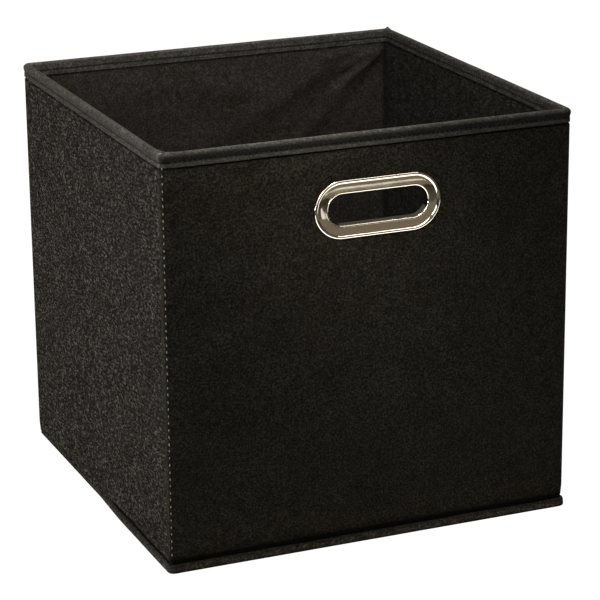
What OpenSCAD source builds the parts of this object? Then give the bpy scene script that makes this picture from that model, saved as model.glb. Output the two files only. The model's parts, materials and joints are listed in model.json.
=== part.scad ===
// Folding open-topped storage cube for a shelf: cloth walls over card stiffeners, a bound rim,
// a bound seam round the base, a lift-out base board and an oval two-part handle ring in front.
// Side walls crease down their middle, so the front wall draws straight back to the rear wall.

/* [Overall] */
// Width across the base seam, left to right
body_w = 310; // [280:1:340]
// Depth across the base seam, front to back
body_d = 310; // [280:1:340]
// Height from the floor to the top of the rim
body_h = 300; // [260:1:340]

/* [Cloth and card] */
// Thickness of the outer cloth
cloth_t = 0.5; // [0.4:0.1:0.8]
// Thickness of the card stiffener in each wall
card_t = 2; // [1.5:0.1:3]
// Thickness of the lining cloth
lining_t = 0.5; // [0.4:0.1:0.8]
// How far each stiffener stops short of the middle crease
card_setback = 3; // [1:0.5:8]
// Gap between the two halves of a side wall at the crease
crease_gap = 0.6; // [0.6:0.1:2]

/* [Rim binding] */
// Height of the binding folded over the rim
rim_h = 10; // [8:0.5:16]
// Thickness of the folded binding on each face
rim_t = 1; // [0.6:0.1:1.2]
// Height of the sewing line above the binding's lower edge
rim_sew_up = 1.8; // [1:0.1:4]

/* [Base seam] */
// Height of the bound seam round the base
seam_h = 7; // [5:0.5:12]
// How far the seam stands out from the wall
seam_out = 2; // [1:0.25:4]
// Thickness of the tape round the seam
tape_t = 0.8; // [0.6:0.1:1.2]
// Clearance under the moving walls
wall_gap = 0.4; // [0.3:0.1:1]

/* [Base board] */
// Gap between the base board and the walls
board_gap = 3.5; // [3.5:0.5:8]
// Thickness of the board's covering cloth
cover_t = 0.3; // [0.3:0.1:0.6]
// Thickness of the board's card
board_t = 2; // [1.5:0.1:3]
// Width of the cover turned in under the board
turn_in = 20; // [10:1:40]

/* [Handle ring] */
// Length of the ring's straight sides
ring_straight = 53; // [40:1:70]
// Radius of the ring's outer ends
ring_outer_r = 21; // [18:0.5:28]
// Radius of the hole's ends
ring_inner_r = 11; // [10:0.5:18]
// Depth of the ring's centre below the rim
ring_drop = 53; // [40:1:80]
// How far the ring sits to the right of the wall's middle
ring_off = 4; // [-10:1:10]
// How far the front ring stands proud
ring_proud = 2; // [1.5:0.1:2]
// Wall thickness of the ring's sleeve
sleeve_t = 1.4; // [1:0.1:2]
// Thickness of the rear ring
rear_t = 1.5; // [1:0.1:1.8]
// How far the sleeve's clips reach past the rear ring
clip_past = 1; // [0.6:0.1:1]
// Width of each clip
clip_w = 5; // [3:0.5:8]

/* [Corner stitches] */
// Distance from one stitch to the next
stitch_pitch = 5.1; // [4:0.1:8]
// Length of a stitch
stitch_l = 2.6; // [2:0.1:4]
// Width of the thread
thread_w = 0.7; // [0.4:0.1:1]
// Angle of the row round the corner, back from the front face
stitch_turn = 35; // [0:5:45]

/* [Hidden] */
$fn = 48;
e = 0.01;
wall_t = cloth_t + card_t + lining_t;
wx = body_w / 2 - seam_out;
wy = body_d / 2 - seam_out;
px = wx - wall_t - rim_t;
py = wy - wall_t - rim_t;
wall_z = seam_h + wall_gap;
rim_full = wall_t + 2 * rim_t;
top_z = body_h - rim_full / 2;
side_l = py - 0.3;
ring_z = body_h - ring_drop;
hole_r = ring_inner_r + sleeve_t + 0.2;
rear_r = ring_inner_r + sleeve_t + 0.1;
sleeve_l = wall_t + rear_t + clip_past;
bx = wx - wall_t - board_gap;
by = wy - wall_t - board_gap;

// ---- shared shapes ----

// A box given by its two corners
module block(a, b) {
  translate(a) cube([b[0] - a[0], b[1] - a[1], b[2] - a[2]]);
}

// A layer of the front wall with its edges turned a quarter round the hinge lines, r the outer radius
module turned_layer(r, t, z0) {
  block([-px, -py - r, z0], [px, -py - r + t, top_z]);
  translate([-px, -py, 0]) rotate([0, 0, 180]) rotate_extrude(angle = 90)
    translate([r - t, z0]) square([t, top_z - z0]);
  translate([px, -py, 0]) rotate([0, 0, 270]) rotate_extrude(angle = 90)
    translate([r - t, z0]) square([t, top_z - z0]);
}
module end_cloth(z0) {
  turned_layer(wall_t + rim_t, cloth_t, z0);
}
module end_card(z0) {
  block([-px, -wy + cloth_t, z0], [px, -wy + cloth_t + card_t, top_z]);
}
module end_lining(z0) {
  turned_layer(rim_t + lining_t, lining_t, z0);
}

// Stadium outline with its long side across, r at the ends
module stadium(r) {
  translate([-ring_straight / 2, -r]) square([ring_straight, 2 * r]);
  for (s = [-1, 1]) translate([s * ring_straight / 2, 0]) circle(r);
}

// The hand hole through the front wall
module hand_hole(r) {
  translate([ring_off, -wy - 5, ring_z]) rotate([-90, 0, 0]) linear_extrude(wall_t + 10) stadium(r);
}

// Section of the binding folded over the rim: across the wall in x, up in y
module rim_section() {
  difference() {
    union() {
      translate([0, body_h - rim_h]) square([rim_full, rim_h - rim_full / 2]);
      translate([rim_full / 2, top_z]) circle(rim_full / 2);
    }
    translate([rim_t, body_h - rim_h - 1]) square([wall_t, rim_h + 1 - rim_full / 2]);
    translate([rim_full / 2, top_z]) circle(wall_t / 2);
  }
}

// Binding of the front wall: a straight run and a quarter turn round each corner
module end_rim() {
  translate([-px, -py, 0]) rotate([90, 0, 90]) linear_extrude(2 * px) mirror([1, 0]) rim_section();
  translate([-px, -py, 0]) rotate([0, 0, 180]) rotate_extrude(angle = 90) rim_section();
  translate([px, -py, 0]) rotate([0, 0, 270]) rotate_extrude(angle = 90) rim_section();
}

// Sewing thread along both faces of the front binding, clear of the folding corners inside
module end_thread() {
  z = body_h - rim_h + rim_sew_up;
  block([-px + 1, -wy - rim_t - 0.2, z], [px - 1, -wy - rim_t, z + 0.4]);
  block([-px + 10, -py, z], [px - 10, -py + 0.2, z + 0.4]);
}

// Layers of the left wall's rear half, from outside in
module side_layer(x0, t, y0, y1, z0, z1) {
  block([x0, y0, z0], [x0 + t, y1, z1]);
}
module side_cloth() {
  side_layer(-wx, cloth_t, crease_gap / 2, side_l, wall_z, top_z);
}
module side_card() {
  side_layer(-wx + cloth_t, card_t, card_setback, side_l - 1, wall_z + 1, top_z);
}
module side_lining() {
  side_layer(-wx + cloth_t + card_t, lining_t, crease_gap / 2, side_l, wall_z, top_z);
}
module side_rim() {
  translate([-px, side_l, 0]) rotate([90, 0, 0]) linear_extrude(side_l - crease_gap / 2)
    mirror([1, 0]) rim_section();
}
module side_thread() {
  z = body_h - rim_h + rim_sew_up;
  block([-wx - rim_t - 0.2, 5, z], [-wx - rim_t, side_l - 1, z + 0.4]);
  block([-px, crease_gap / 2 + 1, z], [-px + 0.2, side_l - 10, z + 0.4]);
}

// ---- back wall ----

module back_cloth() {
  color("#2b2826") mirror([0, 1, 0]) end_cloth(seam_h);
}
module back_card() {
  color("#8a7355") mirror([0, 1, 0]) end_card(seam_h + 1);
}
module back_lining() {
  color("#2f2b29") mirror([0, 1, 0]) end_lining(seam_h);
}
module back_rim() {
  color("#35322f") mirror([0, 1, 0]) end_rim();
}
module back_rim_thread() {
  color("#1b1a19") mirror([0, 1, 0]) end_thread();
}

// ---- left wall, rear half then front half ----

module left_rear_cloth() {
  color("#2b2826") side_cloth();
}
module left_rear_card() {
  color("#8a7355") side_card();
}
module left_rear_lining() {
  color("#2f2b29") side_lining();
}
module left_rear_rim() {
  color("#35322f") side_rim();
}
module left_rear_rim_thread() {
  color("#1b1a19") side_thread();
}
module left_front_cloth() {
  color("#2b2826") mirror([0, 1, 0]) side_cloth();
}
module left_front_card() {
  color("#8a7355") mirror([0, 1, 0]) side_card();
}
module left_front_lining() {
  color("#2f2b29") mirror([0, 1, 0]) side_lining();
}
module left_front_rim() {
  color("#35322f") mirror([0, 1, 0]) side_rim();
}
module left_front_rim_thread() {
  color("#1b1a19") mirror([0, 1, 0]) side_thread();
}

// ---- right wall, rear half then front half ----

module right_rear_cloth() {
  color("#2b2826") mirror([1, 0, 0]) side_cloth();
}
module right_rear_card() {
  color("#8a7355") mirror([1, 0, 0]) side_card();
}
module right_rear_lining() {
  color("#2f2b29") mirror([1, 0, 0]) side_lining();
}
module right_rear_rim() {
  color("#35322f") mirror([1, 0, 0]) side_rim();
}
module right_rear_rim_thread() {
  color("#1b1a19") mirror([1, 0, 0]) side_thread();
}
module right_front_cloth() {
  color("#2b2826") mirror([1, 0, 0]) mirror([0, 1, 0]) side_cloth();
}
module right_front_card() {
  color("#8a7355") mirror([1, 0, 0]) mirror([0, 1, 0]) side_card();
}
module right_front_lining() {
  color("#2f2b29") mirror([1, 0, 0]) mirror([0, 1, 0]) side_lining();
}
module right_front_rim() {
  color("#35322f") mirror([1, 0, 0]) mirror([0, 1, 0]) side_rim();
}
module right_front_rim_thread() {
  color("#1b1a19") mirror([1, 0, 0]) mirror([0, 1, 0]) side_thread();
}

// ---- front wall ----

module front_cloth() {
  color("#2b2826") difference() {
    end_cloth(wall_z);
    hand_hole(hole_r);
  }
}
module front_card() {
  color("#8a7355") difference() {
    end_card(wall_z + 1);
    hand_hole(hole_r);
  }
}
module front_lining() {
  color("#2f2b29") difference() {
    end_lining(wall_z);
    hand_hole(hole_r);
  }
}
module front_rim() {
  color("#35322f") end_rim();
}
module front_rim_thread() {
  color("#1b1a19") end_thread();
}
// The cloth is one strip closed at this corner, so only this corner is sewn
module corner_stitches() {
  r = wall_t + rim_t;
  color("#9a9792") translate([-px, -py, 0]) rotate([0, 0, -stitch_turn])
    for (z = [wall_z + 6 : stitch_pitch : body_h - rim_h - 4])
      block([-thread_w / 2, -r - 0.3, z], [thread_w / 2, -r, z + stitch_l]);
}

// ---- handle ring, clipped together through the front wall ----

// Sections are drawn with the distance from the ring's middle line in x and height off the wall in y
module front_section() {
  difference() {
    union() {
      translate([ring_inner_r + ring_proud, 0])
        square([ring_outer_r - ring_inner_r - 2 * ring_proud, ring_proud]);
      translate([ring_outer_r - ring_proud, 0]) circle(ring_proud);
      translate([ring_inner_r + ring_proud, 0]) circle(ring_proud);
    }
    translate([0, -2 * ring_proud]) square([2 * ring_outer_r, 2 * ring_proud]);
  }
  translate([ring_inner_r, -sleeve_l]) square([sleeve_t, sleeve_l + e]);
}
module rear_section() {
  difference() {
    union() {
      translate([rear_r, -wall_t - rear_t]) square([ring_outer_r - rear_r - rear_t, rear_t]);
      translate([ring_outer_r - rear_t, -wall_t]) circle(rear_t);
    }
    translate([0, -wall_t]) square([2 * ring_outer_r, 2 * rear_t]);
  }
}
// A section carried round the oval: two ends and two straight sides
module round_oval() {
  for (s = [0, 1]) rotate([0, 0, 180 * s]) {
    translate([ring_straight / 2, 0, 0]) rotate([0, 0, -90]) rotate_extrude(angle = 180) children();
    translate([-ring_straight / 2, 0, 0]) rotate([90, 0, 90]) linear_extrude(ring_straight) children();
  }
}
// Puts a ring drawn flat, its face up, on the outside of the front wall
module on_front() {
  translate([ring_off, -wy, ring_z]) rotate([90, 0, 0]) children();
}
// Where the clips sit: two at each end, one at the middle of each straight side
module at_clips() {
  for (s = [-1, 1]) {
    for (a = [-35, 35]) translate([s * ring_straight / 2, 0, 0])
      rotate([0, 0, s > 0 ? a : 180 + a]) children();
    rotate([0, 0, s * 90]) children();
  }
}
module handle_ring_front() {
  color("#c9c6c0") on_front() {
    difference() {
      round_oval() front_section();
      at_clips() for (s = [-1, 1])
        block([ring_inner_r - 2, s * (clip_w / 2 + 0.4) - 0.4, -sleeve_l - 1],
          [ring_inner_r + sleeve_t + 1, s * (clip_w / 2 + 0.4) + 0.4, -1.2]);
    }
    at_clips() block([ring_inner_r + sleeve_t - 0.3, -clip_w / 2 + 0.2, -sleeve_l],
      [ring_inner_r + sleeve_t + 0.9, clip_w / 2 - 0.2, -wall_t - rear_t]);
  }
}
module handle_ring_rear() {
  color("#c9c6c0") on_front() round_oval() rear_section();
}

// ---- base cloth and the bound seam round it ----

module base_cloth() {
  color("#2f2b29") block([-wx + wall_t, -wy + wall_t, 0], [wx - wall_t, wy - wall_t, cloth_t]);
}

// Tape section, outwards from the inner face in x: round the bottom and up both sides of the seam
module tape_section() {
  difference() {
    seam_outline(wall_t + seam_out);
    translate([tape_t, tape_t]) square([wall_t + seam_out - 2 * tape_t, seam_h]);
  }
}
module seam_outline(w) {
  difference() {
    square([w, seam_h]);
    translate([w - 1, -e]) square([1 + e, 1 + e]);
  }
  translate([w - 1, 1]) circle(1);
}
module fold_section() {
  translate([tape_t, tape_t]) square([wall_t + seam_out - 2 * tape_t, seam_h - tape_t]);
}
// Quarter turns about the inner corners join the runs of the front and back lengths
module end_seam() {
  sx = wx - wall_t;
  sy = wy - wall_t;
  translate([-sx, -sy, 0]) rotate([90, 0, 90]) linear_extrude(2 * sx) mirror([1, 0]) children();
  translate([-sx, -sy, 0]) rotate([0, 0, 180]) rotate_extrude(angle = 90) children();
  translate([sx, -sy, 0]) rotate([0, 0, 270]) rotate_extrude(angle = 90) children();
}
module side_seam() {
  sx = wx - wall_t;
  sy = wy - wall_t;
  translate([-sx, sy, 0]) rotate([90, 0, 0]) linear_extrude(2 * sy) mirror([1, 0]) children();
}
module seam_fold_front() {
  color("#24211f") end_seam() fold_section();
}
module seam_fold_back() {
  color("#24211f") mirror([0, 1, 0]) end_seam() fold_section();
}
module seam_fold_left() {
  color("#24211f") side_seam() fold_section();
}
module seam_fold_right() {
  color("#24211f") mirror([1, 0, 0]) side_seam() fold_section();
}
module seam_tape_front() {
  color("#35322f") end_seam() tape_section();
}
module seam_tape_back() {
  color("#35322f") mirror([0, 1, 0]) end_seam() tape_section();
}
module seam_tape_left() {
  color("#35322f") side_seam() tape_section();
}
module seam_tape_right() {
  color("#35322f") mirror([1, 0, 0]) side_seam() tape_section();
}

// ---- base board, lifts out ----

module board_core() {
  block([-bx + cover_t, -by + cover_t, cloth_t + cover_t],
    [bx - cover_t, by - cover_t, cloth_t + cover_t + board_t]);
}
module base_board_card() {
  color("#8a7355") board_core();
}
module base_board_cover() {
  color("#2f2b29") difference() {
    block([-bx, -by, cloth_t], [bx, by, cloth_t + board_t + 2 * cover_t]);
    board_core();
    block([-bx + turn_in, -by + turn_in, 0], [bx - turn_in, by - turn_in, cloth_t + cover_t + e]);
  }
}

back_cloth();
back_card();
back_lining();
back_rim();
back_rim_thread();
left_rear_cloth();
left_rear_card();
left_rear_lining();
left_rear_rim();
left_rear_rim_thread();
left_front_cloth();
left_front_card();
left_front_lining();
left_front_rim();
left_front_rim_thread();
right_rear_cloth();
right_rear_card();
right_rear_lining();
right_rear_rim();
right_rear_rim_thread();
right_front_cloth();
right_front_card();
right_front_lining();
right_front_rim();
right_front_rim_thread();
front_cloth();
front_card();
front_lining();
front_rim();
front_rim_thread();
corner_stitches();
handle_ring_front();
handle_ring_rear();
base_cloth();
seam_fold_front();
seam_fold_back();
seam_fold_left();
seam_fold_right();
seam_tape_front();
seam_tape_back();
seam_tape_left();
seam_tape_right();
base_board_card();
base_board_cover();
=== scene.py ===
"""Looks of an open-topped folding storage cube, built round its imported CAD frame.

Every length is in metres, in the frame's own axes: +Z up, the wall with the handle ring faces -Y.
A place beside a wall is given by its offset from the corner hinge lines: 0 on the inner face of the
rim binding and growing outwards, so a wall's layers keep the same offsets round the corners.
"""

import json
import math
import random

import bmesh
import bpy
import numpy as np
from mathutils import Matrix, Vector, noise


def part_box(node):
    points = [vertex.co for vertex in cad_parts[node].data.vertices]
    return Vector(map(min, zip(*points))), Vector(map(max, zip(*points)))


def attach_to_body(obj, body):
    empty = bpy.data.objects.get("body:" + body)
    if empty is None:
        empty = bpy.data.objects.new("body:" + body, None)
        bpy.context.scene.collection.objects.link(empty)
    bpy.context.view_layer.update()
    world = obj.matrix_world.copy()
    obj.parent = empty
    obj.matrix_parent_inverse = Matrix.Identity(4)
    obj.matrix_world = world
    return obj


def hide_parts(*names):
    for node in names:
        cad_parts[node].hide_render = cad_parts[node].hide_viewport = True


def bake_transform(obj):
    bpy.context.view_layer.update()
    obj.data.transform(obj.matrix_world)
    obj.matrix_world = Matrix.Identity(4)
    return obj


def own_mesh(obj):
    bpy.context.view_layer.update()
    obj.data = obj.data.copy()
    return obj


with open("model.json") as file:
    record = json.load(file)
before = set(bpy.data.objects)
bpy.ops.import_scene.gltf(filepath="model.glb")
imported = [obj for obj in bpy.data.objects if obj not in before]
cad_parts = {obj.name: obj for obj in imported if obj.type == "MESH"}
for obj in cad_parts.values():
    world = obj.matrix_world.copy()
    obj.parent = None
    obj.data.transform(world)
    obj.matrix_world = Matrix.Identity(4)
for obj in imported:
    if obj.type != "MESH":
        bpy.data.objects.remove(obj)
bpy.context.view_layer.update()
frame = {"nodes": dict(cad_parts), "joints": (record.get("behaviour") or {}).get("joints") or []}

MM = 0.001
QUARTER = math.pi / 2
RNG = random.Random(7)

# ---- places taken from the frame ----

JOINT_AT = {j["name"]: j["pos_m"] for j in frame["joints"] if "pos_m" in j}
HINGE = abs(JOINT_AT["fold"][0])
WALL_FACE = -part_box("left_rear_cloth")[0].x
LINING_FACE = -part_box("left_rear_lining")[1].x
RIM_FACE = -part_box("left_rear_rim")[0].x
RIM_LOW, RIM_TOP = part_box("front_rim")[0].z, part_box("front_rim")[1].z
WALL_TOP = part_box("front_cloth")[1].z
FRONT_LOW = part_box("front_cloth")[0].z
BACK_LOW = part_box("back_cloth")[0].z
SEAM_FACE = -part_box("seam_tape_front")[0].y
SEAM_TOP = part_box("seam_tape_front")[1].z
BASE_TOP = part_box("base_cloth")[1].z
BOARD_LOW, BOARD_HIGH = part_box("base_board_cover")
RING_LOW, RING_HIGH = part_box("handle_ring_front")
REAR_LOW, REAR_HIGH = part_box("handle_ring_rear")

# Offsets from the hinge lines
CLOTH_OUT = WALL_FACE - HINGE
LINING_IN = LINING_FACE - HINGE
RIM_OUT = RIM_FACE - HINGE

# ---- sizes of what the frame leaves plain ----

CLOTH_T = 0.5 * MM
# Spacing of mesh points
CLOTH_GRID = 2.2 * MM
LINING_GRID = 3.0 * MM
RIM_GRID = 2.5 * MM
TAPE_GRID = 1.5 * MM
ALLOWANCE_GRID = 3.0 * MM
TURN_STEP = math.radians(9)
# How far the front and back walls' layers run on under the side walls', so that a fold opens no gap
CLOTH_LAP = math.radians(74)
LINING_LAP = math.radians(46)
RIM_LAP = math.radians(86)
LAP_DROP = 0.15 * MM
# Half the length of a side wall's bend, and the height of the cloth's curled hem
CREASE_REACH = 3 * MM
HEM_REACH = 1.0 * MM
# How far the walls' cloth stands off its card, and how much higher than its solid it is hemmed
CLOTH_STANDS = 0.8 * MM
HEM_UP = 0.6 * MM
# Height of the rim's sewing line above the lower edge of its binding
SEW_UP = 3.7 * MM

# ---- meshes ----


def add_object(name, data):
    made = bpy.data.objects.new(name, data)
    bpy.context.scene.collection.objects.link(made)
    return made


def make_piece(name, points, faces, material, smooth_deg=40):
    """A mesh object with outward normals, smooth but for edges sharper than smooth_deg."""
    used, flat = np.unique(np.concatenate([np.array(f) for f in faces]), return_inverse=True)
    sizes = [len(f) for f in faces]
    cuts = np.cumsum(sizes)[:-1]
    faces = [list(map(int, f)) for f in np.split(flat, cuts)]
    mesh = bpy.data.meshes.new(name)
    mesh.from_pydata([tuple(p) for p in np.asarray(points)[used]], [], faces)
    work = bmesh.new()
    work.from_mesh(mesh)
    bmesh.ops.recalc_face_normals(work, faces=work.faces)
    for face in work.faces:
        face.smooth = True
    work.to_mesh(mesh)
    work.free()
    mesh.set_sharp_from_angle(angle=math.radians(smooth_deg))
    mesh.materials.append(material)
    return add_object(name, mesh)


def attach(piece, body, nodes):
    """Hides the nodes a piece stands for, and puts the piece on its body where it has one."""
    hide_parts(*nodes)
    if body is not None:
        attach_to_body(piece, body)


def shell_faces(keep, count):
    """Faces of a thin closed shell whose two grids lie one after the other, over the kept cells."""
    rows, cols = keep.shape
    solid = np.zeros((rows + 2, cols + 2), bool)
    solid[1:-1, 1:-1] = keep
    faces = []
    for i, j in zip(*np.nonzero(keep)):
        a = i * (cols + 1) + j
        b, d = a + 1, a + cols + 1
        c = d + 1
        faces.append((a, b, c, d))
        faces.append((d + count, c + count, b + count, a + count))
        for open_side, p, q in (
            (not solid[i, j + 1], b, a),
            (not solid[i + 2, j + 1], d, c),
            (not solid[i + 1, j], a, d),
            (not solid[i + 1, j + 2], c, b),
        ):
            if open_side:
                faces.append((p, q, q + count, p + count))
    return faces


def shell_piece(name, outer, inner, material, keep=None):
    """A thin closed shell between two grids of points."""
    rows, cols = outer.shape[:2]
    if keep is None:
        keep = np.ones((rows - 1, cols - 1), bool)
    points = np.concatenate([outer.reshape(-1, 3), inner.reshape(-1, 3)])
    return make_piece(name, points, shell_faces(keep, rows * cols), material)


def loft_faces(rings, sides, closed, start=0):
    """Faces of a tube through rings of points that lie one after the other from start."""
    faces = []
    for i in range(rings if closed else rings - 1):
        here, there = start + i * sides, start + (i + 1) % rings * sides
        for j in range(sides):
            k = (j + 1) % sides
            faces.append((here + j, here + k, there + k, there + j))
    if not closed:
        faces.append(tuple(start + j for j in reversed(range(sides))))
        faces.append(tuple(start + (rings - 1) * sides + j for j in range(sides)))
    return faces


def loft_piece(name, rings, material, closed=False, smooth_deg=40):
    """A tube through an array of rings of points."""
    rings = np.asarray(rings)
    faces = loft_faces(rings.shape[0], rings.shape[1], closed)
    return make_piece(name, rings.reshape(-1, 3), faces, material, smooth_deg)


def arc(cx, cy, r, a0, a1, steps):
    """Points on an arc, angles in degrees."""
    turns = np.radians(np.linspace(a0, a1, steps + 1))
    return [(cx + r * math.cos(t), cy + r * math.sin(t)) for t in turns]


# ---- runs along the walls ----

# The walls, each with the sign of its own axis: Y for an end wall, X for a side wall
END_WALLS = {"front": -1, "back": 1}
SIDE_WALLS = {"left": -1, "right": 1}


def spaced(low, high, step):
    """Even places from low to high, about a step apart."""
    return np.linspace(low, high, round((high - low) / step) + 1)


class Run:
    """Feet on the hinge lines and outward directions along a wall, with how far each is lapped."""

    def __init__(self, foot, out, lap):
        self.foot = np.array(foot)
        self.out = np.array(out)
        self.lap = np.array(lap)

    def at(self, offset, z):
        """Points at an offset outwards and a height; both may be arrays of (station, level)."""
        offset, z = np.broadcast_arrays(offset, z, np.zeros((len(self.foot), 1)))[:2]
        flat = self.foot[:, None] + self.out[:, None] * offset[..., None]
        return np.concatenate([flat, z[..., None]], axis=-1)


def turned_run(side, far, turns, step):
    """A run along X at y = side * far that turns at both ends, by angles from turns[0] up to 0."""
    x = spaced(-far, far, step)[1:-1]
    stations = [(-far, t) for t in turns] + [(v, 0.0) for v in x] + [(far, -t) for t in turns[::-1]]
    foot = [(v, side * far) for v, t in stations]
    out = [(math.sin(t), side * math.cos(t)) for v, t in stations]
    return Run(foot, out, [max(0.0, abs(t) - QUARTER) for v, t in stations])


def end_run(side, step, lap):
    """Along the front wall (side -1) or back wall (side 1), turned a quarter round both corners."""
    lapped = np.linspace(-QUARTER - lap, -QUARTER, max(2, int(lap / TURN_STEP) + 1))[:-1]
    corner = np.linspace(-QUARTER, 0, int(QUARTER / TURN_STEP) + 1)
    return turned_run(side, HINGE, np.concatenate([lapped, corner]), step)


def side_run(side, step):
    """Along the left wall (side -1) or right wall (side 1), from the back corner to the front."""
    y = -spaced(-HINGE, HINGE, step)
    near = np.linspace(CREASE_REACH, -CREASE_REACH, 13)
    y = np.concatenate([y[y > CREASE_REACH + step / 2], near, y[y < -CREASE_REACH - step / 2]])
    return Run([(side * HINGE, v) for v in y], [(side, 0)] * len(y), [0.0] * len(y))


def wall_run(wall, step, lap):
    """A wall's run, its stations' places along the wall for folds, and their way from its corners."""
    if wall in END_WALLS:
        run = end_run(END_WALLS[wall], step, lap)
        along = run.foot[:, :1]
        return run, along, HINGE - np.abs(along)
    run = side_run(SIDE_WALLS[wall], step)
    along = run.foot[:, 1:]
    return run, along + HINGE, HINGE - np.abs(along)


def soft(points, scale, seed):
    """Smooth noise from -1 to 1 over an array of (..., 3) points; scale is waves per metre."""
    flat = points.reshape(-1, 3) * scale + seed
    values = [noise.noise(Vector(p)) for p in flat]
    return np.array(values).reshape(points.shape[:-1])


def fade(value, start, full):
    """0 at start, 1 at full, smooth between."""
    t = np.clip((value - start) / (full - start), 0, 1)
    return t * t * (3 - 2 * t)


def folds(a, z, lines):
    """Height of soft ridges drawn as lines (a1, z1, a2, z2, height, width) in millimetres."""
    total = np.zeros(np.broadcast(a, z).shape)
    for a1, z1, a2, z2, height, width in lines:
        da, dz = (a2 - a1) * MM, (z2 - z1) * MM
        length = math.hypot(da, dz)
        t = ((a - a1 * MM) * da + (z - z1 * MM) * dz) / length**2
        off = ((a - a1 * MM) * dz - (z - z1 * MM) * da) / length
        ends = fade(np.minimum(t, 1 - t), -0.25, 0.25)
        total = total + height * MM * ends * np.exp(-((off / (width * MM)) ** 2))
    return total


# ---- materials ----


def set_input(tree, node, key, value):
    """Links a socket to the node's input, or sets a constant on it."""
    if isinstance(value, bpy.types.NodeSocket):
        tree.links.new(value, node.inputs[key])
    else:
        node.inputs[key].default_value = value


def add_node(tree, kind, inputs=None, **settings):
    made = tree.nodes.new(kind)
    for key, value in settings.items():
        setattr(made, key, value)
    for key, value in (inputs or {}).items():
        set_input(tree, made, key, value)
    return made


class Shader:
    """A node material under construction, on a Principled shader."""

    def __init__(self, name):
        self.material = bpy.data.materials.new(name)
        self.material.use_nodes = True
        self.tree = self.material.node_tree
        self.principled = self.tree.nodes["Principled BSDF"]
        self.coords = self.node("ShaderNodeTexCoord").outputs["Object"]

    def node(self, kind, inputs=None, **settings):
        return add_node(self.tree, kind, inputs, **settings)

    def noise(self, scale, detail=2.0, rough=0.5, distortion=0.0, stretch=None):
        place = self.coords
        if stretch is not None:
            mapping = self.node("ShaderNodeMapping", {"Vector": place, "Scale": stretch})
            place = mapping.outputs[0]
        inputs = {"Vector": place, "Scale": scale, "Detail": detail, "Roughness": rough}
        inputs["Distortion"] = distortion
        return self.node("ShaderNodeTexNoise", inputs).outputs["Fac"]

    def axes(self):
        """The object coordinates' X, Y and Z."""
        return self.node("ShaderNodeSeparateXYZ", {"Vector": self.coords}).outputs

    def math(self, operation, a, b=0.0):
        return self.node("ShaderNodeMath", {0: a, 1: b}, operation=operation).outputs[0]

    def product(self, result, *others):
        for other in others:
            result = self.math("MULTIPLY", result, other)
        return result

    def spread(self, value, low, high, to_low=0.0, to_high=1.0):
        inputs = {"Value": value, "From Min": low, "From Max": high, "To Min": to_low, "To Max": to_high}
        return self.node("ShaderNodeMapRange", inputs).outputs[0]

    def mix(self, factor, a, b):
        inputs = {"Factor": factor, "A": a, "B": b}
        return self.node("ShaderNodeMix", inputs, data_type="RGBA").outputs["Result"]

    def bump(self, height, distance, strength=1.0, normal=None):
        inputs = {"Height": height, "Distance": distance, "Strength": strength}
        if normal is not None:
            inputs["Normal"] = normal
        return self.node("ShaderNodeBump", inputs).outputs[0]

    def surface(self, **inputs):
        for key, value in inputs.items():
            set_input(self.tree, self.principled, key.replace("_", " "), value)
        return self.material


def colour(rgb, gain=1.0):
    return (rgb[0] * gain, rgb[1] * gain, rgb[2] * gain, 1.0)


def painted_seam_shade(s, seams):
    """Painted shade into the named seams: under the rim, under the inside rim, above the base seam, into
    the inner corners, and up the base tape.
    """
    x, y, z = s.axes()
    if "tape" in seams:
        # Painted shade up the base tape: lighter at its foot, darker towards its top.
        return s.spread(z, 1.5 * MM, SEAM_TOP - 1.5 * MM, 0.85, 0.4)
    # Painted shadow under the rim's lower edge, fainter on the lining inside.
    deep = 0.72 if "inside rim" in seams else 0.3
    shade = s.spread(z, RIM_LOW - 2.6 * MM, RIM_LOW - 0.9 * MM, 1.0, deep)
    if "corner" in seams:
        # Painted shade into the lining's inner corners.
        near = s.math("MINIMUM", s.math("ABSOLUTE", x), s.math("ABSOLUTE", y))
        shade = s.product(shade, s.spread(near, HINGE - 4 * MM, HINGE - 0.5 * MM, 1.0, 0.35))
    if "base" in seams:
        # Painted shade in the groove above the base seam, fading out up the wall.
        groove = s.spread(z, FRONT_LOW + 2.2 * MM, FRONT_LOW + 4.5 * MM, 0.08, 0.6)
        above = s.spread(z, FRONT_LOW + 4.5 * MM, FRONT_LOW + 12 * MM, 0.0, 0.4)
        shade = s.product(shade, s.math("ADD", groove, above))
    return shade


def painted_binding_light(s, band):
    """Painted light and shade on the binding: a painted highlight along the top, painted shade in the
    sewn groove, and on the end walls painted shade over the middle of the outside, down to band, with
    painted light inside.
    """
    _, y, z = s.axes()
    # Painted highlight along the binding's top edge.
    painted_top_highlight = s.spread(z, RIM_TOP - 1.4 * MM, RIM_TOP - 0.2 * MM, 1.0, 1.4)
    # Painted shade in the sewn groove.
    from_sewing = s.math("ABSOLUTE", s.math("SUBTRACT", z, RIM_LOW + SEW_UP))
    shade = s.product(painted_top_highlight, s.spread(from_sewing, 0.35 * MM, 0.95 * MM, 0.3, 1.0))
    if band < 1:
        # Painted light on the inside of the end walls' binding, 1.5 times brighter.
        inside = s.spread(s.math("ABSOLUTE", y), WALL_FACE - 2 * MM, WALL_FACE - 1 * MM, 1.5, 0.0)
        # Painted shade over the middle of the end walls' binding outside, down to band.
        below = s.spread(z, RIM_LOW + 2.2 * MM, RIM_LOW + 4.2 * MM, 1.0, band)
        above = s.spread(z, RIM_TOP - 3.2 * MM, RIM_TOP - 0.4 * MM, band, 1.0)
        outside = s.math("MAXIMUM", below, above)
        shade = s.product(shade, s.math("MAXIMUM", outside, inside))
    return shade


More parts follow.
